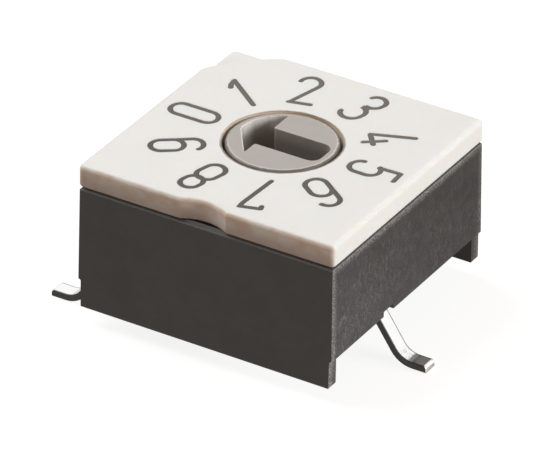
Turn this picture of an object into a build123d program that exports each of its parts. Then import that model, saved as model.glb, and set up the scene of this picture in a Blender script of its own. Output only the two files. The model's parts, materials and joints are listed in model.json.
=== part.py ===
"""Rotary dip switch with ten positions and five surface mount leads. Sizes are in millimetres.

Frame: +Z is up and the origin is on the dial axis, in the plane that the lead feet stand on.
The front is -Y, the common lead is on +X, the four code leads are on -X. The arrow points to 0.
"""
import os
from math import atan2, cos, hypot, radians, sin

from build123d import *

os.makedirs("parts", exist_ok=True)

# Outside sizes
body_width = 10.0
body_draft = 0.75
body_edge_radius = 0.03
body_top_chamfer = 0.13
standoff = 0.59
leg_height = 1.10
leg_thickness = 0.48
leg_inset = 0.12
leg_bottom_radius = 0.08
leg_step_radius = 0.07
housing_height = 4.71
cover_inset = 0.02
cover_width = body_width - 2 * cover_inset
cover_thickness = 0.84

# Levels above the plane of the feet
leg_z = standoff
skirt_z = leg_z + leg_height
body_z = leg_z + housing_height
dial_z = body_z + cover_thickness

# Leads, bent at the post, the shoulder and the heel
lead_pitch = 0.254 * body_width
lead_width = 0.06 * body_width
lead_thickness = 0.25
lead_top_z = skirt_z + 0.17
lead_mid_z = lead_top_z - lead_thickness / 2
post_inset = 1.15
shoulder_inset = 0.47
heel_outset = 0.63
foot_length = 1.01
post_x = body_width / 2 - post_inset
shoulder_x = body_width / 2 - shoulder_inset
heel_x = body_width / 2 + heel_outset
lead_end_x = heel_x + foot_length
post_radius = 0.15
shoulder_radius = 0.26
heel_radius = 0.85
lead_edge_radius = 0.03
lead_end_radius = 0.12
slot_clearance = 0.03

# Housing inside
skirt_wall = 0.60
end_wall = leg_thickness
ledge = 0.10
roof_thickness = 0.90
roof_z = body_z - roof_thickness
notch_height = 0.19
notch_clearance = 0.02

# Contact base and resin
base_thickness = 0.64
base_top_z = lead_top_z + base_thickness
base_clearance = 0.01
resin_z = skirt_z + 0.02
spring_post = (0.70, 0.30)

# Works between the contact base and the roof: wiper room, track, disc, star and the rotor's play
works_height = roof_z - base_top_z
wiper_room = 0.36 * works_height
track_thickness = 0.03
disc_thickness = 0.25
rotor_play = 0.05
star_thickness = works_height - wiper_room - track_thickness - disc_thickness - rotor_play
track_z = base_top_z + wiper_room
disc_bottom_z = track_z + track_thickness
star_bottom_z = disc_bottom_z + disc_thickness
star_top_z = star_bottom_z + star_thickness

# Rotor
rotor_radius = 0.195 * body_width
rotor_clearance = 0.115
rotor_bore = rotor_radius + rotor_clearance
rotor_rim_radius = 0.09
rotor_sink = 0.01
rotor_top_z = dial_z - rotor_sink
star_radius = 0.32 * body_width
star_depth = 0.18
scallop_radius = 0.375 * star_radius
positions = 10
step_angle = 360 / positions
boss_radius = 0.375 * star_radius
pivot_radius = boss_radius / 2
pivot_clearance = 0.04
pivot_end_gap = 0.06
pivot_depth = 0.45

# Arrow slot, seen from above with the arrow pointing to -X
arrow_depth = 1.65
arrow_tip = (-0.851 * rotor_radius, 0.015 * rotor_radius)
arrow_neck_x = -0.382 * rotor_radius
arrow_near_shaft = 0.295 * rotor_radius
arrow_far_shaft = 0.338 * rotor_radius
arrow_barb_y = 0.641 * rotor_radius
arrow_far_radius = 0.905 * rotor_radius
arrow_end_x = 0.841 * rotor_radius
arrow_end_radius = 0.185 * rotor_radius
arrow_neck_radius = 0.08
arrow_tip_radius = 0.03
arrow_edge = 0.04

# Code disc and track
track_half_width = 0.047 * star_radius
common_radius = 0.440 * star_radius
code_radius = {
    "8": 0.550 * star_radius,
    "4": 0.678 * star_radius,
    "2": 0.809 * star_radius,
    "1": 0.947 * star_radius,
}
spoke_width = 0.16

# Each lead: side, place along Y, then radius and angle of the point where its wiper meets the track
leads = {
    "1": (-1, 1.5 * lead_pitch, code_radius["1"], 145.6),
    "2": (-1, 0.5 * lead_pitch, code_radius["2"], 167.0),
    "4": (-1, -0.5 * lead_pitch, code_radius["4"], 195.0),
    "8": (-1, -1.5 * lead_pitch, code_radius["8"], 226.0),
    "common": (1, -0.5 * lead_pitch, common_radius, 333.0),
}

# Wipers
wiper_width = 0.42
wiper_thickness = 0.08
wiper_heel = 0.15
wiper_foot = 0.50
wiper_toe = 0.25
wiper_bend = 0.20
button_radius = 0.14
contact_gap = 0.02

# Detent springs
spring_thickness = 0.15
spring_top_gap = 0.06
spring_seat_z = star_bottom_z + 0.10
spring_tab = 0.95
spring_end_gap = 0.10
spring_bend = 0.60
nub_radius = 0.34
nub_gap = 0.03
spring_middle_y = star_radius + nub_gap + 0.39

# Seal
seal_clearance = 0.03
seal_height = 0.74
seal_side_gap = 0.015

# Cover
cover_corner_radius = 0.19
cover_top_radius = 0.18
cover_bottom_radius = 0.10
front_notch_x = -0.08
front_notch_radius = 1.75
front_notch_depth = 0.25
front_notch_blends = (0.45, 0.19)
hole_chamfer = 0.015
low_corner_radius = 0.562 * body_width
low_corner_depth = 0.38
peg_place = 0.36 * body_width
peg_radius = 0.40
peg_length = 0.50
peg_clearance = 0.02

# Digits: the strokes are drawn for a 10 mm body and scaled with it
digit_scale = body_width / 10
digit_radius = 3.54 * digit_scale
digit_stroke = 0.20 * digit_scale
digit_half_height = 0.90
digit_half_width = 0.37
engraving_depth = 0.07
ink_thickness = 0.045


def finish(builder, name):
    """Name a finished piece and write it."""
    builder.part.label = name
    export_step(builder.part, f"parts/{name}.step")


def ring_sector(inner, outer, start, sweep):
    """Flat part of a ring, as a face round the origin."""
    corners = [(r * cos(radians(a)), r * sin(radians(a)))
               for r, a in ((inner, start), (outer, start), (outer, start + sweep), (inner, start + sweep))]
    middle = radians(start + sweep / 2)
    with BuildSketch(mode=Mode.PRIVATE) as sector:
        with BuildLine():
            Line(corners[0], corners[1])
            ThreePointArc(corners[1], (outer * cos(middle), outer * sin(middle)), corners[2])
            Line(corners[2], corners[3])
            ThreePointArc(corners[3], (inner * cos(middle), inner * sin(middle)), corners[0])
        make_face()
    return sector.sketch


# Housing: tapered block, hollow from below, two end walls reach down as legs
cavity_x = body_width - 2 * skirt_wall
cavity_y = body_width - 2 * end_wall
upper_x = cavity_x - 2 * ledge
upper_y = cavity_y - 2 * ledge
seal_bore = rotor_radius + seal_clearance + seal_height + seal_side_gap

with BuildPart() as housing:
    with BuildSketch(Plane.XY.offset(leg_z)):
        Rectangle(body_width, body_width)
    extrude(amount=housing_height, taper=body_draft)
    chamfer(housing.faces().sort_by(Axis.Z)[-1].edges(), body_top_chamfer)
    fillet(housing.edges().filter_by(Axis.Z, tolerance=5), body_edge_radius)

    # Open space between the legs, and the legs a little narrower than the body
    with BuildSketch(Plane.XY.offset(leg_z)):
        Rectangle(body_width + 1, body_width - 2 * leg_thickness)
    extrude(amount=leg_height, mode=Mode.SUBTRACT)
    with BuildSketch(Plane.XY.offset(leg_z)):
        with Locations((-body_width / 2, 0), (body_width / 2, 0)):
            Rectangle(2 * leg_inset, body_width + 1)
    extrude(amount=leg_height, mode=Mode.SUBTRACT)
    along_y = housing.edges().filter_by(Axis.Y)
    leg_sides = along_y.filter_by(lambda e: abs(abs(e.center().X) - body_width / 2 + leg_inset) < 0.001)
    fillet(leg_sides.group_by(Axis.Z)[-1], leg_step_radius)
    fillet(housing.faces().sort_by(Axis.Z)[0:2].edges(), leg_bottom_radius)

    # Room for the contact base, and the narrower room above it for the works
    with BuildSketch(Plane.XY.offset(skirt_z)):
        Rectangle(cavity_x, cavity_y)
    extrude(amount=base_top_z - skirt_z, mode=Mode.SUBTRACT)
    with BuildSketch(Plane.XY.offset(base_top_z)):
        Rectangle(upper_x, upper_y)
    extrude(amount=roof_z - base_top_z, mode=Mode.SUBTRACT)

    # Rotor bore, seal groove and the holes for the cover pegs
    with BuildSketch(Plane.XY.offset(roof_z)):
        Circle(rotor_bore)
    extrude(amount=roof_thickness, mode=Mode.SUBTRACT)
    with BuildSketch(Plane.XY.offset(body_z - seal_height)):
        Circle(seal_bore)
    extrude(amount=seal_height, mode=Mode.SUBTRACT)
    with BuildSketch(Plane.XY.offset(body_z - peg_length - peg_clearance)):
        with GridLocations(2 * peg_place, 2 * peg_place, 2, 2):
            Circle(peg_radius + peg_clearance)
    extrude(amount=peg_length + peg_clearance, mode=Mode.SUBTRACT)

    # Notches in the skirt that the leads pass through
    for side, lead_y, radius, angle in leads.values():
        with BuildSketch(Plane.XY.offset(skirt_z)):
            with Locations((side * body_width / 2, lead_y)):
                Rectangle(2 * skirt_wall + 0.2, lead_width + 2 * notch_clearance)
        extrude(amount=notch_height, mode=Mode.SUBTRACT)
finish(housing, "housing")


# Digits: each one is a list of straight and curved strokes round its own centre
def straight(start, end):
    """Straight stroke."""
    return Line(Vector(*start) * digit_scale, Vector(*end) * digit_scale, mode=Mode.PRIVATE)


def curved(x, y, radius, start, sweep):
    """Stroke along an arc, in degrees from +X."""
    return CenterArc(Vector(x, y) * digit_scale, radius * digit_scale, start, sweep, mode=Mode.PRIVATE)


def loop(x, y, half_width, half_height):
    """Closed loop with round ends and straight sides."""
    reach = half_height - half_width
    return [
        curved(x, y + reach, half_width, 0, 180),
        straight((x - half_width, y + reach), (x - half_width, y - reach)),
        curved(x, y - reach, half_width, 180, 180),
        straight((x + half_width, y - reach), (x + half_width, y + reach)),
    ]


W = digit_half_width
H = digit_half_height


def digit_0():
    return loop(0.04, -0.02, W, H)


def digit_1():
    return [
        straight((0.07, H), (0.03, -H)),
        straight((0.07, H), (-0.12, 0.70)),
        straight((-0.12, 0.70), (-0.23, 0.49)),
    ]


def digit_2():
    return [
        curved(0.03, 0.55, W, 170, -172),
        curved(0.03, 0.55, W, -2, -32),
        straight((0.34, 0.34), (-0.40, -0.86)),
        straight((-0.43, -0.86), (0.34, -H)),
    ]


def digit_3():
    return [
        curved(0.04, 0.64, 0.34, 165, -165),
        straight((0.38, 0.64), (0.38, 0.53)),
        curved(0.04, 0.53, 0.34, 0, -90),
        straight((0.0, 0.12), (0.18, 0.12)),
        curved(0.01, -0.33, 0.39, 90, -90),
        straight((0.40, -0.33), (0.40, -0.47)),
        curved(0.01, -0.47, 0.39, 0, -155),
    ]


def digit_4():
    return [
        straight((0.08, 0.94), (-0.31, -0.55)),
        straight((-0.31, -0.55), (0.39, -0.52)),
        straight((0.18, -0.08), (0.20, -0.84)),
    ]


def digit_5():
    return [
        straight((-0.26, H), (0.27, 0.93)),
        straight((-0.26, H), (-0.23, 0.11)),
        curved(0.03, -0.12, W, 142, -142),
        straight((0.40, -0.12), (0.40, -0.49)),
        curved(0.03, -0.49, W, 0, -173),
    ]


def hooked(x, y, bowl):
    """A six: closed bowl with a stem that hooks over it."""
    return loop(x, 0.57 - H + y, bowl, 0.57) + [
        straight((x - bowl, y), (x - bowl, H - bowl + y)),
        curved(x, H - bowl + y, bowl, 180, -152),
    ]


def digit_6():
    return hooked(0.06, 0.02, 0.38)


def digit_7():
    return [
        straight((-0.30, 0.94), (0.42, 0.93)),
        straight((-0.30, 0.94), (-0.30, 0.78)),
        straight((0.42, 0.93), (0.36, 0.66)),
        straight((0.36, 0.66), (-0.23, -H)),
    ]


def digit_8():
    strokes = loop(-0.03, 0.505, 0.34, 0.41) + loop(-0.03, -0.38, W, 0.535)
    return [stroke.rotate(Axis.Z, 3.4) for stroke in strokes]


def digit_9():
    return [stroke.rotate(Axis.Z, 180) for stroke in hooked(0, -0.02, 0.36)]


digits = [digit_0, digit_1, digit_2, digit_3, digit_4, digit_5, digit_6, digit_7, digit_8, digit_9]

with BuildSketch() as dial_print:
    for number, digit in enumerate(digits):
        angle = 180 - number * step_angle
        with Locations(Rot(Z=angle) * Pos(digit_radius, 0) * Rot(Z=-90)):
            for stroke in digit():
                SlotArc(stroke, digit_stroke)

# Cover: dial plate with the notch, the lowered corner, the hole, the engraving and four pegs
notch_centre_y = -cover_width / 2 + front_notch_depth - front_notch_radius
with BuildPart() as cover:
    with BuildSketch(Plane.XY.offset(body_z)) as plate:
        RectangleRounded(cover_width, cover_width, cover_corner_radius)
        with Locations((front_notch_x, notch_centre_y)):
            Circle(front_notch_radius, mode=Mode.SUBTRACT)
        notch_ends = plate.vertices().filter_by(lambda v: abs(v.X) < cover_width / 4).sort_by(Axis.X)
        for end, blend in zip(notch_ends, front_notch_blends):
            fillet(end, blend)
    extrude(amount=cover_thickness)
    fillet(cover.faces().sort_by(Axis.Z)[-1].edges(), cover_top_radius)
    fillet(cover.faces().sort_by(Axis.Z)[0].edges(), cover_bottom_radius)

    # Lowered corner at the back left
    with BuildSketch(Plane.XY.offset(dial_z - low_corner_depth)):
        with Locations((-cover_width / 2, cover_width / 2)):
            Rectangle(cover_width, cover_width)
        Circle(low_corner_radius, mode=Mode.SUBTRACT)
        with Locations((cover_width / 2, 0), (0, -cover_width / 2)):
            Rectangle(cover_width, cover_width, mode=Mode.SUBTRACT)
    extrude(amount=low_corner_depth, mode=Mode.SUBTRACT)

    # Hole for the rotor, pegs underneath
    with BuildSketch(Plane.XY.offset(body_z)):
        Circle(rotor_bore)
    extrude(amount=cover_thickness, mode=Mode.SUBTRACT)
    round_edges = cover.edges().filter_by(GeomType.CIRCLE)
    hole_edges = [e for e in round_edges if abs(e.radius - rotor_bore) < 0.001]
    chamfer(max(hole_edges, key=lambda e: e.center().Z), hole_chamfer)
    with BuildSketch(Plane.XY.offset(body_z)):
        with GridLocations(2 * peg_place, 2 * peg_place, 2, 2):
            Circle(peg_radius)
    extrude(amount=-peg_length)

    # Engraved digits
    with BuildSketch(Plane.XY.offset(dial_z - engraving_depth)):
        add(dial_print.sketch)
    extrude(amount=engraving_depth, mode=Mode.SUBTRACT)
finish(cover, "cover")

# Numerals: the dark fill on the floor of the engraving
with BuildPart() as numerals:
    with BuildSketch(Plane.XY.offset(dial_z - engraving_depth)):
        add(dial_print.sketch)
    extrude(amount=ink_thickness)
finish(numerals, "numerals")

# Rotor: barrel with the arrow slot, detent star, boss for the code disc and pivot
with BuildPart() as rotor:
    with BuildSketch(Plane.XY.offset(star_bottom_z)):
        Circle(star_radius)
        scallop_place = star_radius - star_depth + scallop_radius
        with PolarLocations(scallop_place, positions, start_angle=step_angle / 2):
            Circle(scallop_radius, mode=Mode.SUBTRACT)
    extrude(amount=star_thickness)
    with BuildSketch(Plane.XY.offset(star_top_z)):
        Circle(rotor_radius)
    extrude(amount=rotor_top_z - star_top_z)
    fillet(rotor.faces().sort_by(Axis.Z)[-1].edges(), rotor_rim_radius)
    with BuildSketch(Plane.XY.offset(disc_bottom_z)):
        Circle(boss_radius)
    extrude(amount=disc_thickness)
    with BuildSketch(Plane.XY.offset(base_top_z - pivot_depth + pivot_end_gap)):
        Circle(pivot_radius)
    extrude(amount=disc_bottom_z - base_top_z + pivot_depth - pivot_end_gap)

    # Arrow slot: straight near side, far side round the rotor
    far_barb = (arrow_neck_x, (arrow_far_radius**2 - arrow_neck_x**2) ** 0.5)
    tip_angle = atan2(arrow_tip[1], arrow_tip[0])
    far_angle = (tip_angle + atan2(far_barb[1], far_barb[0])) / 2
    far_middle = (arrow_far_radius * cos(far_angle), arrow_far_radius * sin(far_angle))
    with BuildSketch(Plane.XY.offset(rotor_top_z - arrow_depth)) as arrow:
        with BuildLine():
            Polyline(
                arrow_tip,
                (arrow_neck_x, -arrow_barb_y),
                (arrow_neck_x, -arrow_near_shaft),
                (arrow_end_x, -arrow_near_shaft),
                (arrow_end_x, arrow_far_shaft),
                (arrow_neck_x, arrow_far_shaft),
                far_barb,
            )
            ThreePointArc(far_barb, far_middle, arrow_tip)
        make_face()
        fillet(arrow.vertices().group_by(Axis.X)[-1], arrow_end_radius)
        at_neck = arrow.vertices().filter_by(lambda v: abs(v.X - arrow_neck_x) < 0.001).sort_by(Axis.Y)
        fillet(at_neck[1:3], arrow_neck_radius)
        points = [arrow.vertices().sort_by(Axis.X)[0], arrow.vertices().sort_by(Axis.Y)[0],
                  arrow.vertices().sort_by(Axis.Y)[-1]]
        fillet(points, arrow_tip_radius)
    extrude(amount=arrow_depth, mode=Mode.SUBTRACT)
    top_edges = rotor.faces().sort_by(Axis.Z)[-1].edges()
    fillet([e for e in top_edges if not e.is_closed], arrow_edge)
finish(rotor, "rotor")

# Rotor seal: rubber ring, pressed flat between the groove floor and the cover
seal_mid_radius = rotor_radius + seal_clearance + seal_height / 2
with BuildPart() as rotor_seal:
    with BuildSketch(Plane.XZ):
        with Locations((seal_mid_radius, body_z - seal_height / 2)):
            RectangleRounded(seal_height, seal_height, 0.4 * seal_height)
    revolve(axis=Axis.Z)
finish(rotor_seal, "rotor_seal")

# Code disc
with BuildPart() as code_disc:
    with BuildSketch(Plane.XY.offset(disc_bottom_z)):
        Circle(star_radius)
        Circle(boss_radius, mode=Mode.SUBTRACT)
    extrude(amount=disc_thickness)
finish(code_disc, "code_disc")

# Code track: common ring, spokes between the positions and one ring of code for each wiper
with BuildPart() as code_track:
    with BuildSketch(Plane.XY.offset(track_z)):
        Circle(common_radius + track_half_width)
        for name, (side, lead_y, radius, start) in leads.items():
            if name == "common":
                continue
            for number in range(positions):
                if number & int(name):
                    begin = start + (number - 0.5) * step_angle
                    add(ring_sector(radius - track_half_width, radius + track_half_width, begin, step_angle))
            for number in range(0, positions, 2):
                angle = start + (number + 0.5) * step_angle
                with Locations(Rot(Z=angle) * Pos(radius / 2, 0)):
                    Rectangle(radius, spoke_width)
        Circle(common_radius - track_half_width, mode=Mode.SUBTRACT)
    extrude(amount=track_thickness)
finish(code_track, "code_track")

# Contact base: plate with the pivot bore, a slot for each lead and posts for the detent springs
base_x = cavity_x - 2 * base_clearance
base_y = cavity_y - 2 * base_clearance
with BuildPart() as contact_base:
    with BuildSketch(Plane.XY.offset(lead_top_z)):
        Rectangle(base_x, base_y)
    extrude(amount=base_thickness)
    post_place_x = upper_x / 2 - base_clearance - spring_post[0] / 2
    post_place_y = upper_y / 2 - base_clearance - spring_post[1] / 2
    with BuildSketch(Plane.XY.offset(base_top_z)):
        with GridLocations(2 * post_place_x, 2 * post_place_y, 2, 2):
            Rectangle(*spring_post)
    extrude(amount=spring_seat_z - base_top_z)
    with BuildSketch(Plane.XY.offset(base_top_z)):
        Circle(pivot_radius + pivot_clearance)
    extrude(amount=-pivot_depth, mode=Mode.SUBTRACT)
    with BuildSketch(Plane.XY.offset(lead_top_z)):
        for side, lead_y, radius, angle in leads.values():
            with Locations((side * post_x, lead_y)):
                Rectangle(lead_thickness + 2 * slot_clearance, lead_width + 2 * slot_clearance)
    extrude(amount=base_thickness, mode=Mode.SUBTRACT)
finish(contact_base, "contact_base")

# Leads: one bent strip each, from the post in the contact base down to the foot
def lead(side, lead_y):
    bends = {1: post_radius, 2: shoulder_radius, 3: heel_radius}
    points = [
        (side * post_x, base_top_z),
        (side * post_x, lead_mid_z),
        (side * shoulder_x, lead_mid_z),
        (side * heel_x, lead_thickness / 2),
        (side * lead_end_x, lead_thickness / 2),
    ]
    with BuildPart(mode=Mode.PRIVATE) as strip:
        with BuildSketch(Plane.XZ.offset(-lead_y)):
            with BuildLine() as path:
                Polyline(*points)
                for number, radius in bends.items():
                    corner = Vector(*points[number])
                    nearest = min(path.vertices(), key=lambda v: (Vector(v.X, v.Y) - corner).length)
                    fillet(nearest, radius)
            trace(line_width=lead_thickness)
        extrude(amount=lead_width / 2, both=True)
        ends = strip.edges().filter_by(Axis.Y)
        ends = ends.filter_by(lambda e: abs(abs(e.center().X) - lead_end_x) < 0.001)
        fillet(ends.sort_by(Axis.Z)[-1], lead_end_radius)
        fillet(strip.faces().filter_by(Axis.Y).edges(), lead_edge_radius)
    return strip.part


for name, (side, lead_y, radius, angle) in leads.items():
    with BuildPart() as terminal:
        add(lead(side, lead_y))
    finish(terminal, f"terminal_{name}")

# Wipers: thin strips welded on the lead posts, each with a contact button under the code track
button_z = track_z - contact_gap - button_radius
for name, (side, lead_y, radius, angle) in leads.items():
    contact_x = radius * cos(radians(angle))
    contact_y = radius * sin(radians(angle))
    run_x = contact_x - side * post_x
    run_y = contact_y - lead_y
    run = hypot(run_x, run_y)
    upright_plane = Plane(
        origin=(side * post_x, lead_y, base_top_z),
        x_dir=(run_x, run_y, 0),
        z_dir=(run_y, -run_x, 0),
    )
    with BuildPart() as contact_spring:
        with BuildSketch(upright_plane):
            with BuildLine():
                FilletPolyline(
                    (-wiper_heel, wiper_thickness / 2),
                    (wiper_foot, wiper_thickness / 2),
                    (run - wiper_toe, button_z - base_top_z),
                    (run + wiper_toe, button_z - base_top_z),
                    radius=wiper_bend,
                )
            trace(line_width=wiper_thickness)
        extrude(amount=wiper_width / 2, both=True)
        with Locations((contact_x, contact_y, button_z)):
            Sphere(button_radius)
    finish(contact_spring, f"contact_spring_{name}")

# Detent springs: bowed strips against the end walls, with a nub that points at the star
tab_y = (upper_y - spring_thickness) / 2
tab_x = upper_x / 2 - spring_end_gap
nub_tip = star_radius + nub_gap
spring_height = roof_z - spring_top_gap - spring_seat_z
for name, side in (("front", -1), ("back", 1)):
    with BuildPart() as detent_spring:
        with BuildSketch(Plane.XY.offset(spring_seat_z)):
            with BuildLine():
                FilletPolyline(
                    (-tab_x, side * tab_y),
                    (-tab_x + spring_tab, side * tab_y),
                    (0, side * spring_middle_y),
                    (tab_x - spring_tab, side * tab_y),
                    (tab_x, side * tab_y),
                    radius=spring_bend,
                )
            trace(line_width=spring_thickness)
            with Locations((0, side * (nub_tip + nub_radius))):
                Circle(nub_radius)
        extrude(amount=spring_height)
    finish(detent_spring, f"detent_spring_{name}")

# Sealing resin: poured round the leads under the contact base
with BuildPart() as sealing_resin:
    with BuildSketch(Plane.XY.offset(resin_z)):
        Rectangle(cavity_x, cavity_y)
    extrude(amount=lead_top_z - resin_z)
    for side, lead_y, radius, angle in leads.values():
        add(lead(side, lead_y), mode=Mode.SUBTRACT)
finish(sealing_resin, "sealing_resin")
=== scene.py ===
"""Looks of the rotary dip switch: materials, floor, lights and the camera of the photograph.

Everything is in metres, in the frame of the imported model: +Z up, the dial axis at the origin.
"""
import json
from math import cos, pi, radians, sin

import bpy
from mathutils import Matrix, Vector

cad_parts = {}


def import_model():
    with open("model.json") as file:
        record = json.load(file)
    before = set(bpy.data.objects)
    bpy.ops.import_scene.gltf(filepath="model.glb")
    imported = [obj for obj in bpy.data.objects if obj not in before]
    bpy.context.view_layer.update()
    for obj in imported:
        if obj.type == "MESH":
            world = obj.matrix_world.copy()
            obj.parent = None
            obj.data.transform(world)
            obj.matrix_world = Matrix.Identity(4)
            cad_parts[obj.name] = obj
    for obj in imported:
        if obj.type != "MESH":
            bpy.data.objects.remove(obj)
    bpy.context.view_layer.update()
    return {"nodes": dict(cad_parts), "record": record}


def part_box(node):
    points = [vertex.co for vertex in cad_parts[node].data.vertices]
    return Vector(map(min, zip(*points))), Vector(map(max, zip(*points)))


MM = 0.001
IMAGE_WIDTH = 540
SENSOR = 36.0

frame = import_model()
nodes = frame["nodes"]
scene = bpy.context.scene

# Levels and reaches read from the model, in millimetres
BODY_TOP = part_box("housing")[1].z / MM
BODY_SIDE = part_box("housing")[1].y / MM
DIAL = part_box("cover")[1].z / MM
ROTOR_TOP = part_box("rotor")[1].z / MM
LEAD_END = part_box("terminal_common")[1].x / MM
LEAD_WIDTH = (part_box("terminal_common")[1].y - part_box("terminal_common")[0].y) / MM

# Sizes that no box of the model gives, in millimetres
LEAD_PITCH = 2.54
ROTOR_RADIUS = 1.95
HOLE_RADIUS = 2.065


# Camera

def make_camera():
    """Camera at the photograph's place, as solved from the body's corners."""
    azimuth, elevation, roll = 0.53795, 0.539397, 0.014176
    focal_px, distance = 6247.12, 211.3005 * MM
    shift_px = (11.6071, -14.6072)
    target = Vector((0, 0, 3.44 * MM))
    back = Vector((sin(azimuth) * cos(elevation), -cos(azimuth) * cos(elevation), sin(elevation)))
    level = Vector((cos(azimuth), sin(azimuth), 0))
    upright = back.cross(level)
    right = cos(roll) * level + sin(roll) * upright
    up = cos(roll) * upright - sin(roll) * level
    turn = Matrix((right, up, back)).transposed().to_4x4()
    data = bpy.data.cameras.new("camera")
    data.sensor_width = SENSOR
    data.lens = focal_px / IMAGE_WIDTH * SENSOR
    data.shift_x = -shift_px[0] / IMAGE_WIDTH
    data.shift_y = shift_px[1] / IMAGE_WIDTH
    data.clip_start = 0.005
    data.clip_end = 5.0
    camera = bpy.data.objects.new("camera", data)
    camera.matrix_world = Matrix.Translation(target + distance * back) @ turn
    scene.collection.objects.link(camera)
    scene.camera = camera


# Shader graphs

class Graph:
    """A node tree with short calls for the nodes used here."""

    def __init__(self, tree):
        self.tree = tree
        tree.nodes.clear()

    def node(self, kind, inputs=None, **settings):
        made = self.tree.nodes.new("ShaderNode" + kind)
        for name, value in settings.items():
            setattr(made, name, value)
        for name, value in (inputs or {}).items():
            self.set(made.inputs[name], value)
        return made

    def set(self, socket, value):
        if isinstance(value, bpy.types.NodeSocket):
            self.tree.links.new(value, socket)
        else:
            socket.default_value = value

    def math(self, operation, a, b=0.0):
        return self.node("Math", {0: a, 1: b}, operation=operation).outputs[0]

    def product(self, first, *others):
        """All the values multiplied."""
        result = first
        for value in others:
            result = self.math("MULTIPLY", result, value)
        return result

    def larger(self, a, b):
        return self.math("MAXIMUM", a, b)

    def ramp(self, value, low, high, to_low=0.0, to_high=1.0):
        """Smooth step of a value from low to high."""
        made = self.node("MapRange", {0: value, 1: low, 2: high, 3: to_low, 4: to_high})
        made.interpolation_type = "SMOOTHSTEP"
        return made.outputs[0]

    def band(self, value, start, full, end, gone):
        """Smooth rise of a value from start to full, and fall from end to gone."""
        return self.product(self.ramp(value, start, full), self.ramp(value, gone, end))

    def mix(self, factor, a, b):
        """Colour a where the factor is 0, colour b where it is 1."""
        made = self.node("Mix", data_type="RGBA")
        self.set(made.inputs[0], factor)
        self.set(made.inputs[6], a)
        self.set(made.inputs[7], b)
        return made.outputs[2]

    def split(self, vector):
        return self.node("SeparateXYZ", {0: vector}).outputs

    def noise(self, place, scale, detail=3.0, roughness=0.55, stretch=None, bend=0.0):
        """Noise in 0 to 1, with its scale given per millimetre."""
        if stretch:
            place = self.node("VectorMath", {0: place, 1: stretch}, operation="MULTIPLY").outputs[0]
        inputs = {"Vector": place, "Scale": scale, "Detail": detail, "Roughness": roughness}
        return self.node("TexNoise", {**inputs, "Distortion": bend}).outputs[0]


class Surface(Graph):
    """A material with a principled shader, the place on the object in millimetres and its normal."""

    def __init__(self, name, **values):
        self.material = bpy.data.materials.new(name)
        self.material.use_nodes = True
        super().__init__(self.material.node_tree)
        self.shader = self.node("BsdfPrincipled")
        for socket, value in values.items():
            self.shader.inputs[socket.replace("_", " ")].default_value = value
        self.node("OutputMaterial", {"Surface": self.shader.outputs[0]})
        texture = self.node("TexCoord").outputs
        scaled = self.node("VectorMath", {0: texture["Object"], "Scale": 1 / MM}, operation="SCALE")
        self.place = scaled.outputs[0]
        self.normal = texture["Normal"]
        self.x, self.y, self.z = self.split(self.place)
        self.facing_x, self.facing_y, self.facing_z = self.split(self.normal)

    def color(self, value):
        self.set(self.shader.inputs["Base Color"], value)

    def roughness(self, value):
        self.set(self.shader.inputs["Roughness"], value)

    def bump(self, *layers):
        """Bump layers, each a height in 0 to 1 and its depth in millimetres."""
        normal = None
        for height, depth in layers:
            made = self.node("Bump", {"Strength": 1.0, "Distance": depth * MM, "Height": height})
            if normal:
                self.set(made.inputs["Normal"], normal)
            normal = made.outputs[0]
        self.set(self.shader.inputs["Normal"], normal)

    def rims(self):
        """1 on edges that round off a level top, 0 on level and upright faces."""
        return self.band(self.facing_z, 0.15, 0.40, 0.93, 0.985)

    def radius(self):
        """Distance from the dial axis in millimetres."""
        flat = self.node("CombineXYZ", {0: self.x, 1: self.y})
        return self.node("VectorMath", {0: flat.outputs[0]}, operation="LENGTH").outputs["Value"]

    def near_side(self):
        """1 on the half of the dial towards the front right corner, 0 on the other half."""
        return self.ramp(self.math("SUBTRACT", self.product(self.x, 0.6), self.y), -0.8, 0.6)

    def edges(self):
        """1 on rounded and chamfered edges, 0 on the flat faces along the axes."""
        x, y, z = self.split(self.node("VectorMath", {0: self.normal}, operation="ABSOLUTE").outputs[0])
        largest = self.larger(self.larger(x, y), z)
        return self.ramp(largest, 0.97, 0.88)


# Materials

def rgb(red, green, blue):
    return (red, green, blue, 1.0)


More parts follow.
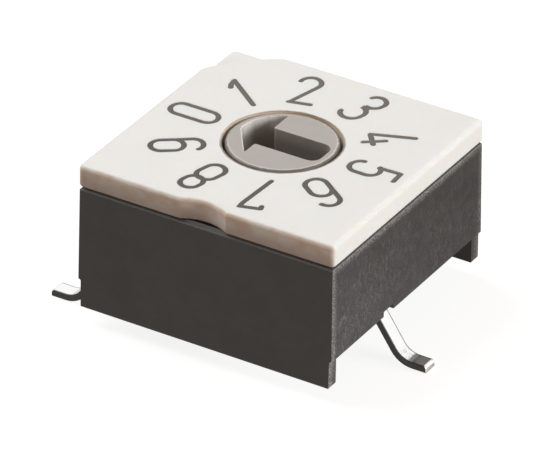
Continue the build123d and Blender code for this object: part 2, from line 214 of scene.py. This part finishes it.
def housing_plastic():
    """Black moulded plastic with scratches and specks on its lead sides, rubbed edges with painted
    highlights, and painted shade in the joint and on the tops under the dial plate.
    """
    s = Surface("housing_plastic", Roughness=0.45, IOR=1.5)
    side = s.math("ABSOLUTE", s.facing_x)
    lead_side = s.ramp(side, 0.6, 0.9)
    mottle = s.noise(s.place, 0.9, 4.0, 0.6)
    grain = s.noise(s.place, 14.0, 3.0, 0.6)
    fine = s.noise(s.place, 22.0, 2.0, 0.5)
    streak = s.noise(s.place, 8.0, 5.0, 0.7, stretch=(0.3, 1.0, 0.45), bend=0.9)
    blotch = s.noise(s.place, 2.2, 4.0, 0.7, stretch=(1.0, 1.0, 0.7), bend=0.6)

    # Scratches and specks lie in patches, denser to the front and low down
    patch = s.product(
        s.ramp(s.noise(s.place, 1.1, 3.0, 0.6), 0.36, 0.60, 0.30, 1.0),
        s.ramp(s.y, 1.0, -4.0, 0.40, 1.0),
        s.ramp(s.z, BODY_TOP, BODY_TOP - 2.2, 0.55, 1.0),
    )
    dash = s.product(s.ramp(streak, 0.52, 0.62), patch)
    speck = s.product(s.ramp(fine, 0.56, 0.66), patch)
    marks = s.product(lead_side, s.larger(dash, speck))

    # Rubbed bands beside the upright corners and under the joint, and worn edges: specks of wear mixed with
    # painted highlights along the rounded edges
    near_corner = s.ramp(s.math("ABSOLUTE", s.y), BODY_SIDE - 0.38, BODY_SIDE - 0.08)
    near_top = s.ramp(s.z, BODY_TOP - 0.42, BODY_TOP - 0.14)
    band = s.product(s.larger(near_corner, near_top), s.ramp(fine, 0.42, 0.60))
    rubbed_and_highlit = s.product(lead_side, band, s.ramp(s.y, 3.0, 4.6, 1.0, 0.6))
    worn_and_highlit = s.product(s.edges(), s.ramp(side, 0.25, 0.5), s.ramp(grain, 0.30, 0.55))

    dark = s.mix(s.ramp(mottle, 0.30, 0.70), rgb(0.031, 0.0255, 0.0210), rgb(0.042, 0.0365, 0.0325))
    deep = s.product(lead_side, s.ramp(blotch, 0.42, 0.62, 0.55, 0.0))
    dark = s.mix(deep, dark, rgb(0.016, 0.014, 0.014))
    dark = s.mix(s.product(marks, 0.62), dark, rgb(0.19, 0.18, 0.185))
    dark = s.mix(s.product(rubbed_and_highlit, 0.75), dark, rgb(0.38, 0.37, 0.36))
    dark = s.mix(s.product(worn_and_highlit, 0.80), dark, rgb(0.34, 0.33, 0.32))

    # Joint under the dial plate: a pale line at the lower edge of the chamfer, painted shade above it and on
    # the level tops under the plate
    line = s.band(s.z, BODY_TOP - 0.18, BODY_TOP - 0.14, BODY_TOP - 0.12, BODY_TOP - 0.09)
    dark = s.mix(s.product(line, s.ramp(grain, 0.3, 0.7, 0.10, 0.40)), dark, rgb(0.20, 0.19, 0.18))
    shade = s.product(s.ramp(s.z, BODY_TOP - 0.13, BODY_TOP - 0.09), s.ramp(side, 0.15, 0.45, 0.25, 1.0))
    # Painted shade: level tops darkened as if shaded by the overhanging dial plate
    shade = s.larger(shade, s.ramp(s.facing_z, 0.75, 0.95, 0.0, 0.75))
    s.color(s.mix(shade, dark, rgb(0.010, 0.009, 0.008)))
    s.set(s.shader.inputs["Specular IOR Level"], s.ramp(s.facing_z, 0.75, 0.95, 0.5, 0.12))

    uneven = s.math("ADD", s.product(grain, 0.5), s.product(marks, 0.4))
    s.roughness(s.ramp(uneven, 0.1, 0.9, 0.38, 0.60))
    s.bump((grain, 0.0035), (streak, 0.005), (fine, 0.002))
    return s.material


def cover_plastic():
    """Warm white moulded plastic, slightly translucent, with painted shade on the front face and in the
    joint, and dirt with painted shade and painted light round the hole.
    """
    s = Surface("cover_plastic", Roughness=0.42, IOR=1.5, Subsurface_Weight=0.30, Subsurface_Scale=0.35 * MM,
                Subsurface_Radius=(1.0, 0.62, 0.38))
    cloud = s.noise(s.place, 0.35, 3.0, 0.5)
    grain = s.noise(s.place, 16.0, 3.0, 0.6)
    ragged = s.noise(s.place, 5.0, 3.0, 0.6)
    base = s.mix(cloud, rgb(0.81, 0.825, 0.81), rgb(0.85, 0.87, 0.86))
    base = s.mix(s.ramp(grain, 0.62, 0.75, 0.0, 0.25), base, rgb(0.76, 0.735, 0.69))

    # Front face: painted shade, a brown tint in clouds, greyer low down and darkest in the joint
    front = s.ramp(s.facing_y, -0.4, -0.8)
    tint = s.noise(s.place, 1.3, 2.0, 0.5, stretch=(1.0, 1.0, 1.6))
    base = s.mix(s.product(front, s.ramp(tint, 0.30, 0.68, 0.10, 0.85)), base, rgb(0.68, 0.54, 0.44))
    low_shade = s.product(front, s.ramp(s.z, BODY_TOP + 0.66, BODY_TOP + 0.08))
    base = s.mix(s.product(low_shade, 0.62), base, rgb(0.43, 0.39, 0.39))
    joint_shade = s.product(front, s.ramp(s.z, BODY_TOP + 0.07, BODY_TOP + 0.01))
    base = s.mix(s.product(joint_shade, 0.5), base, rgb(0.17, 0.145, 0.125))

    # Round the hole: dirt, with painted shade making it darker and broader on the near side, and painted
    # light making it pale down the wall of the hole
    near = s.near_side()
    reach = s.math("ADD", s.radius(), s.product(ragged, -0.07))
    reach = s.math("SUBTRACT", reach, s.product(near, 0.03))
    ring = s.ramp(reach, HOLE_RADIUS + 0.02, HOLE_RADIUS - 0.02)
    dirt_and_painted_light = s.mix(near, rgb(0.44, 0.37, 0.30), rgb(0.17, 0.145, 0.125))
    dirt_and_painted_light = s.mix(s.ramp(s.z, DIAL - 0.02, DIAL - 0.05), dirt_and_painted_light, rgb(0.85, 0.74, 0.63))
    s.color(s.mix(s.product(ring, 0.9), base, dirt_and_painted_light))
    s.roughness(s.ramp(grain, 0.2, 0.8, 0.38, 0.52))
    s.bump((grain, 0.0022), (cloud, 0.004))
    return s.material


def numeral_ink():
    """Dull grey brown filling on the floor of the engraving, with painted shade making it darker to the
    front.
    """
    s = Surface("numeral_ink", Roughness=0.75, IOR=1.45)
    grain = s.noise(s.place, 18.0, 4.0, 0.7)
    patch = s.noise(s.place, 2.5, 3.0, 0.6)
    base = s.mix(patch, rgb(0.125, 0.114, 0.100), rgb(0.170, 0.157, 0.142))
    # Painted shade: the ink grows darker towards the front
    base = s.mix(s.ramp(s.y, 2.0, -3.0, 0.0, 0.6), base, rgb(0.065, 0.058, 0.052))
    s.color(s.mix(s.ramp(grain, 0.55, 0.75, 0.0, 0.5), base, rgb(0.22, 0.205, 0.185)))
    s.bump((grain, 0.006))
    return s.material


def rotor_plastic():
    """Satin grey plastic with painted highlights on its rubbed rims, painted shade and a painted pale lip
    down the slot, and dirt and painted shade in the gap round it.
    """
    s = Surface("rotor_plastic", Roughness=0.36, IOR=1.5, Subsurface_Weight=0.08, Subsurface_Scale=0.15 * MM)
    cloud = s.noise(s.place, 1.1, 3.0, 0.5)
    grain = s.noise(s.place, 20.0, 3.0, 0.6)
    ragged = s.noise(s.place, 6.5, 3.0, 0.6)
    streak = s.noise(s.place, 3.5, 4.0, 0.7, stretch=(1.0, 1.0, 0.4))
    base = s.mix(cloud, rgb(0.40, 0.38, 0.355), rgb(0.45, 0.43, 0.405))

    # Pale rims: painted highlights along the rounded rims, with rubbing, fainter where they face the front
    rubbed_and_highlit = s.product(s.rims(), s.ramp(grain, 0.3, 0.6, 0.55, 1.0))
    rubbed_and_highlit = s.product(rubbed_and_highlit, s.ramp(s.facing_y, -0.25, 0.15, 0.25, 0.95))
    base = s.mix(rubbed_and_highlit, base, rgb(0.93, 0.91, 0.88))

    # Walls of the slot: painted shade darker downwards, the curved one less shaded and with a streaky
    # painted highlight along its lip
    wall = s.ramp(s.math("ABSOLUTE", s.facing_z), 0.6, 0.3)
    curved = s.product(s.ramp(s.facing_x, 0.15, 0.45), s.ramp(s.x, -1.50, -1.15, 0.55, 1.0))
    deep = s.product(wall, s.ramp(s.z, ROTOR_TOP - 0.03, ROTOR_TOP - 0.60))
    deep = s.product(deep, s.math("SUBTRACT", 0.58, s.product(curved, 0.37)))
    base = s.mix(deep, base, rgb(0.13, 0.115, 0.105))
    painted_lip = s.product(wall, curved, s.ramp(s.z, ROTOR_TOP - 0.80, ROTOR_TOP - 0.12))
    base = s.mix(s.product(painted_lip, s.ramp(streak, 0.34, 0.58, 0.50, 1.0)), base, rgb(0.95, 0.92, 0.90))

    # Dirt on the outer edge, with painted shade darker on the near side, where a painted highlight line runs
    # inside it
    near = s.near_side()
    reach = s.math("ADD", s.radius(), s.product(ragged, 0.07))
    painted_pale_line = s.product(near, s.ramp(reach, ROTOR_RADIUS - 0.12, ROTOR_RADIUS - 0.07, 0.0, 0.50))
    base = s.mix(painted_pale_line, base, rgb(0.78, 0.76, 0.73))
    ring = s.ramp(reach, ROTOR_RADIUS - 0.060, ROTOR_RADIUS - 0.025)
    dirt_and_painted_light = s.mix(near, rgb(0.24, 0.205, 0.175), rgb(0.11, 0.093, 0.080))
    s.color(s.mix(s.product(ring, 0.92), base, dirt_and_painted_light))
    s.roughness(s.ramp(grain, 0.2, 0.8, 0.30, 0.42))
    s.bump((grain, 0.0015))
    return s.material


def tin_plate():
    """Bright tin on the broad faces, bare metal with a painted dark reflection on the sheared sides, a
    streaky coppery cut end.
    """
    s = Surface("tin_plate", Metallic=1.0, Roughness=0.2)
    turns = s.math("FRACT", s.math("DIVIDE", s.y, LEAD_PITCH))
    across = s.product(s.math("SUBTRACT", turns, 0.5), LEAD_PITCH)
    out = s.math("ABSOLUTE", s.x)
    right = s.ramp(s.x, -1.0, 1.0, 0.3, 1.0)
    cloud = s.noise(s.place, 3.0, 4.0, 0.6)
    grain = s.noise(s.place, 22.0, 3.0, 0.6)
    drag = s.noise(s.place, 11.0, 3.0, 0.6, stretch=(1.0, 0.10, 1.0))
    scuff = s.noise(s.place, 9.0, 4.0, 0.7, bend=1.2)

    # Tin with painted shade along the far edge and scratches at the heel, both fainter on the left leads
    plate = s.mix(cloud, rgb(0.93, 0.925, 0.905), rgb(0.98, 0.975, 0.96))
    painted_far_shade = s.product(s.ramp(across, LEAD_WIDTH / 2 - 0.08, LEAD_WIDTH / 2 - 0.05), right)
    plate = s.mix(s.product(painted_far_shade, s.ramp(grain, 0.35, 0.65, 0.3, 0.9)), plate, rgb(0.32, 0.31, 0.30))
    heel = s.band(out, LEAD_END - 1.15, LEAD_END - 0.95, LEAD_END - 0.80, LEAD_END - 0.62)
    scratch = s.product(heel, s.ramp(scuff, 0.47, 0.60), right, 0.7)
    plate = s.mix(scratch, plate, rgb(0.35, 0.34, 0.32))

    # Bare metal on the sides, darkened as painted reflection, and the cut end
    sheared_and_painted_dark = s.ramp(s.math("ABSOLUTE", across), LEAD_WIDTH / 2 - 0.055, LEAD_WIDTH / 2 - 0.035)
    outward = s.ramp(s.math("ABSOLUTE", s.facing_x), 0.30, 0.60)
    end = s.product(outward, s.ramp(out, LEAD_END - 0.13, LEAD_END - 0.10))
    side = s.mix(cloud, rgb(0.050, 0.047, 0.045), rgb(0.085, 0.080, 0.076))
    copper = s.mix(s.ramp(drag, 0.40, 0.60), rgb(0.42, 0.30, 0.25), rgb(1.0, 0.91, 0.86))
    s.color(s.mix(end, s.mix(sheared_and_painted_dark, plate, side), copper))
    bare = s.product(s.larger(sheared_and_painted_dark, end), 0.25)
    s.roughness(s.math("ADD", s.ramp(cloud, 0.2, 0.8, 0.10, 0.18), bare))
    s.bump((grain, 0.0006), (cloud, 0.003))
    return s.material


def gold_plate():
    """Gold on spring metal, with faint rolling lines."""
    s = Surface("gold_plate", Metallic=1.0, Roughness=0.22)
    cloud = s.noise(s.place, 2.0, 3.0, 0.6)
    line = s.noise(s.place, 9.0, 3.0, 0.6, stretch=(0.15, 1.0, 1.0))
    s.color(s.mix(cloud, rgb(0.93, 0.67, 0.27), rgb(1.0, 0.78, 0.40)))
    s.roughness(s.ramp(line, 0.2, 0.8, 0.16, 0.34))
    s.bump((line, 0.001))
    return s.material


def disc_laminate():
    """Glass cloth laminate: olive, with the weave just showing."""
    s = Surface("disc_laminate", Roughness=0.4, IOR=1.5)
    weave_rate = 14.0  # radians per millimetre
    warp = s.math("SINE", s.product(s.x, weave_rate))
    weft = s.math("SINE", s.product(s.y, weave_rate))
    weave = s.ramp(s.product(warp, weft), -1.0, 1.0)
    cloud = s.noise(s.place, 1.5)
    base = s.mix(cloud, rgb(0.24, 0.22, 0.09), rgb(0.34, 0.31, 0.15))
    s.color(s.mix(s.product(weave, 0.35), base, rgb(0.42, 0.39, 0.22)))
    s.bump((weave, 0.002))
    return s.material


def spring_steel():
    """Rolled steel strip with lengthwise lines."""
    s = Surface("spring_steel", Metallic=1.0, Roughness=0.28)
    line = s.noise(s.place, 10.0, 3.0, 0.6, stretch=(0.12, 1.0, 1.0))
    s.color(s.mix(line, rgb(0.52, 0.52, 0.53), rgb(0.66, 0.65, 0.64)))
    s.roughness(s.ramp(line, 0.2, 0.8, 0.2, 0.4))
    s.bump((line, 0.0012))
    return s.material


def base_plastic():
    """Black plastic of the contact base."""
    s = Surface("base_plastic", Roughness=0.45, IOR=1.5)
    grain = s.noise(s.place, 12.0)
    cloud = s.noise(s.place, 1.2)
    s.color(s.mix(cloud, rgb(0.026, 0.025, 0.024), rgb(0.045, 0.043, 0.041)))
    s.roughness(s.ramp(grain, 0.2, 0.8, 0.38, 0.52))
    s.bump((grain, 0.003))
    return s.material


def seal_rubber():
    """Dull black rubber."""
    s = Surface("seal_rubber", Roughness=0.8, IOR=1.5)
    grain = s.noise(s.place, 14.0, 4.0, 0.7)
    s.color(s.mix(grain, rgb(0.016, 0.016, 0.016), rgb(0.034, 0.033, 0.032)))
    s.bump((grain, 0.004))
    return s.material


def resin():
    """Poured epoxy: dark, glossy and gently uneven, with a few pinholes."""
    s = Surface("resin", Roughness=0.12, IOR=1.55)
    swell = s.noise(s.place, 0.7, 2.0, 0.5)
    pits = s.ramp(s.noise(s.place, 6.0, 2.0, 0.5), 0.70, 0.76)
    s.color(s.mix(swell, rgb(0.020, 0.015, 0.012), rgb(0.045, 0.034, 0.026)))
    s.roughness(s.ramp(swell, 0.3, 0.7, 0.10, 0.22))
    s.bump((swell, 0.05), (pits, -0.01))
    return s.material


def dress_nodes():
    """Give every node of the model the material of its slot."""
    makers = (housing_plastic, cover_plastic, numeral_ink, rotor_plastic, tin_plate, gold_plate,
              disc_laminate, spring_steel, base_plastic, seal_rubber, resin)
    made = {maker.__name__: maker() for maker in makers}
    for part in frame["record"]["subparts"]:
        body = nodes[part["node"]]
        body.data.materials.clear()
        body.data.materials.append(made[part["material_slot"]])


# Studio

def floor():
    """Pale floor: white to the camera, with the soft shadow kept, and a painted reflection glow that fades
    towards the back.
    """
    reach = 1.2
    drop = 0.02 * MM
    camera_glow = 0.86
    near_mirror, far_mirror = 0.74, 0.34
    mesh = bpy.data.meshes.new("floor")
    corners = [(-reach, -reach, 0), (reach, -reach, 0), (reach, reach, 0), (-reach, reach, 0)]
    mesh.from_pydata(corners, [], [(0, 1, 2, 3)])
    made = bpy.data.objects.new("floor", mesh)
    made.location.z = -drop
    scene.collection.objects.link(made)
    material = bpy.data.materials.new("floor")
    material.use_nodes = True
    g = Graph(material.node_tree)
    path = g.node("LightPath").outputs
    seen, mirrored = path["Is Camera Ray"], path["Is Glossy Ray"]
    color = g.mix(seen, rgb(0.34, 0.25, 0.18), rgb(0.27, 0.27, 0.27))
    matt = g.node("BsdfDiffuse", {"Color": g.mix(mirrored, color, rgb(0, 0, 0))})
    depth = g.split(g.node("TexCoord").outputs["Object"])[1]
    # Painted reflection: the floor glows for glossy rays only, brighter near the front than at the back
    painted_reflection = g.product(mirrored, g.ramp(depth, -6 * MM, 10 * MM, near_mirror, far_mirror))
    strength = g.math("ADD", g.product(seen, camera_glow), painted_reflection)
    glow = g.node("Emission", {"Color": rgb(1, 1, 1), "Strength": strength})
    both = g.node("AddShader", {0: matt.outputs[0], 1: glow.outputs[0]})
    g.node("OutputMaterial", {"Surface": both.outputs[0]})
    mesh.materials.append(material)


def world():
    """White to the camera and to reflections, a dim warm fill for everything else."""
    made = bpy.data.worlds.new("world")
    scene.world = made
    made.use_nodes = True
    g = Graph(made.node_tree)
    path = g.node("LightPath").outputs
    seen = g.larger(g.larger(path["Is Camera Ray"], path["Is Glossy Ray"]), path["Is Transmission Ray"])
    color = g.mix(seen, rgb(0.20, 0.155, 0.125), rgb(1, 1, 1))
    background = g.node("Background", {"Color": color, "Strength": 1.0})
    g.node("OutputWorld", {"Surface": background.outputs[0]})


def softbox(name, azimuth, elevation, distance, width, height, level):
    """Area lamp aimed at the part. The level is what it adds to a white surface that faces it."""
    a, e = radians(azimuth), radians(elevation)
    direction = Vector((sin(a) * cos(e), -cos(a) * cos(e), sin(e)))
    data = bpy.data.lights.new(name, "AREA")
    data.shape = "RECTANGLE"
    data.size = width
    data.size_y = height
    data.energy = level * (pi * distance) ** 2
    made = bpy.data.objects.new(name, data)
    made.location = direction * distance + Vector((0, 0, 3 * MM))
    made.rotation_euler = (-direction).to_track_quat("-Z", "Y").to_euler()
    scene.collection.objects.link(made)


dress_nodes()
make_camera()
floor()
world()
softbox("key", azimuth=102, elevation=16, distance=0.30, width=0.18, height=0.12, level=0.90)
softbox("left", azimuth=272, elevation=52, distance=0.30, width=0.24, height=0.24, level=0.83)
scene.view_settings.view_transform = "Standard"
